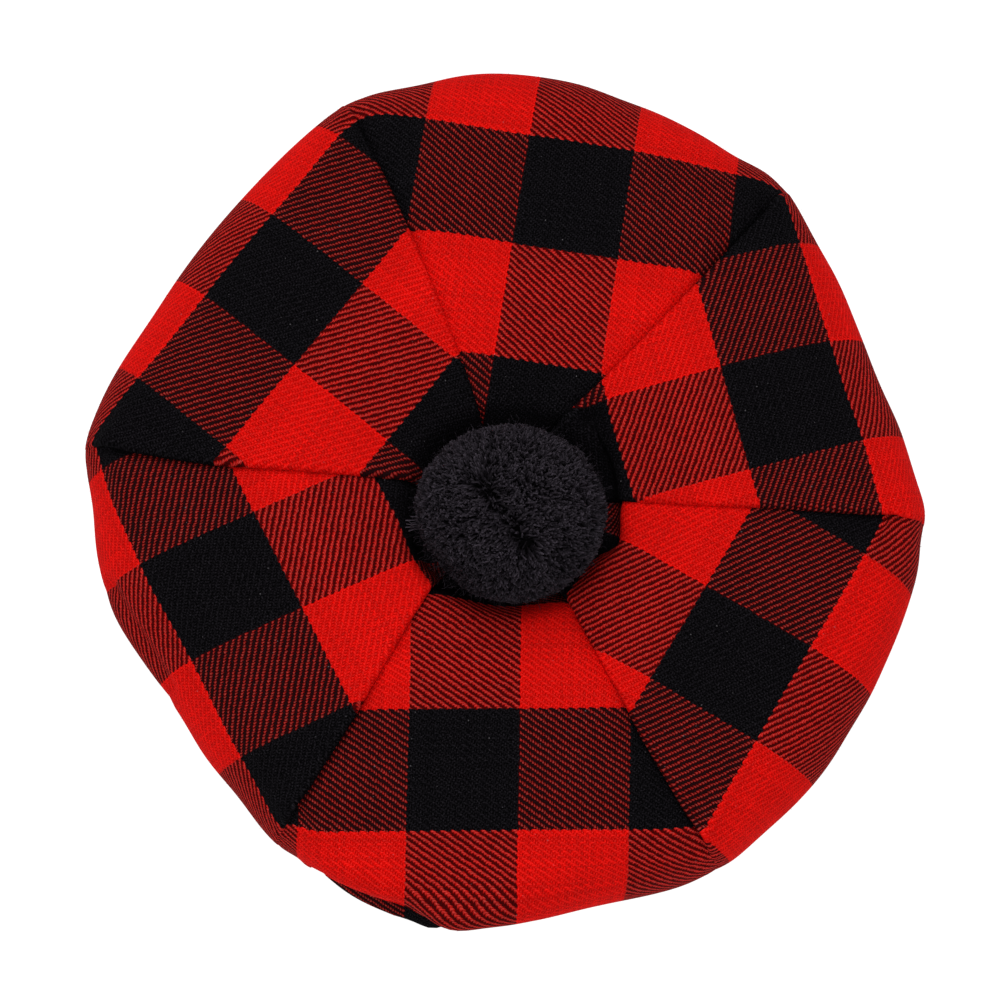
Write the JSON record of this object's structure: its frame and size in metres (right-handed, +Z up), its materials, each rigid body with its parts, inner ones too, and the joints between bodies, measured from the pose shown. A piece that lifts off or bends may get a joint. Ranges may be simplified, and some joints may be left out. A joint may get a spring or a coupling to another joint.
{
  "type": "tam o'shanter",
  "caption": "Flat round gored cap of soft check wool with a headband and a large yarn pompom in the middle of the crown, lying flat.",
  "frame": {"origin": "on the surface that the cap lies on, under the middle of the whole cap's outline", "axes": "+Z up out of the crown, +Y to the far side of the cap as pictured, +X to its right"},
  "size_m": [0.2925, 0.3021, 0.0899],
  "materials": {
    "check_wool": "brushed wool twill in a red and black check",
    "band_wool": "the same check wool twill, folded double",
    "black_yarn": "matt clipped acrylic yarn"
  },
  "bodies": {
    "root": {"crown_gore_1": "check_wool", "crown_gore_2": "check_wool", "crown_gore_3": "check_wool", "crown_gore_4": "check_wool", "crown_gore_5": "check_wool", "crown_gore_6": "check_wool", "headband": "band_wool", "pompom": "black_yarn"}
  },
  "joints": []
}
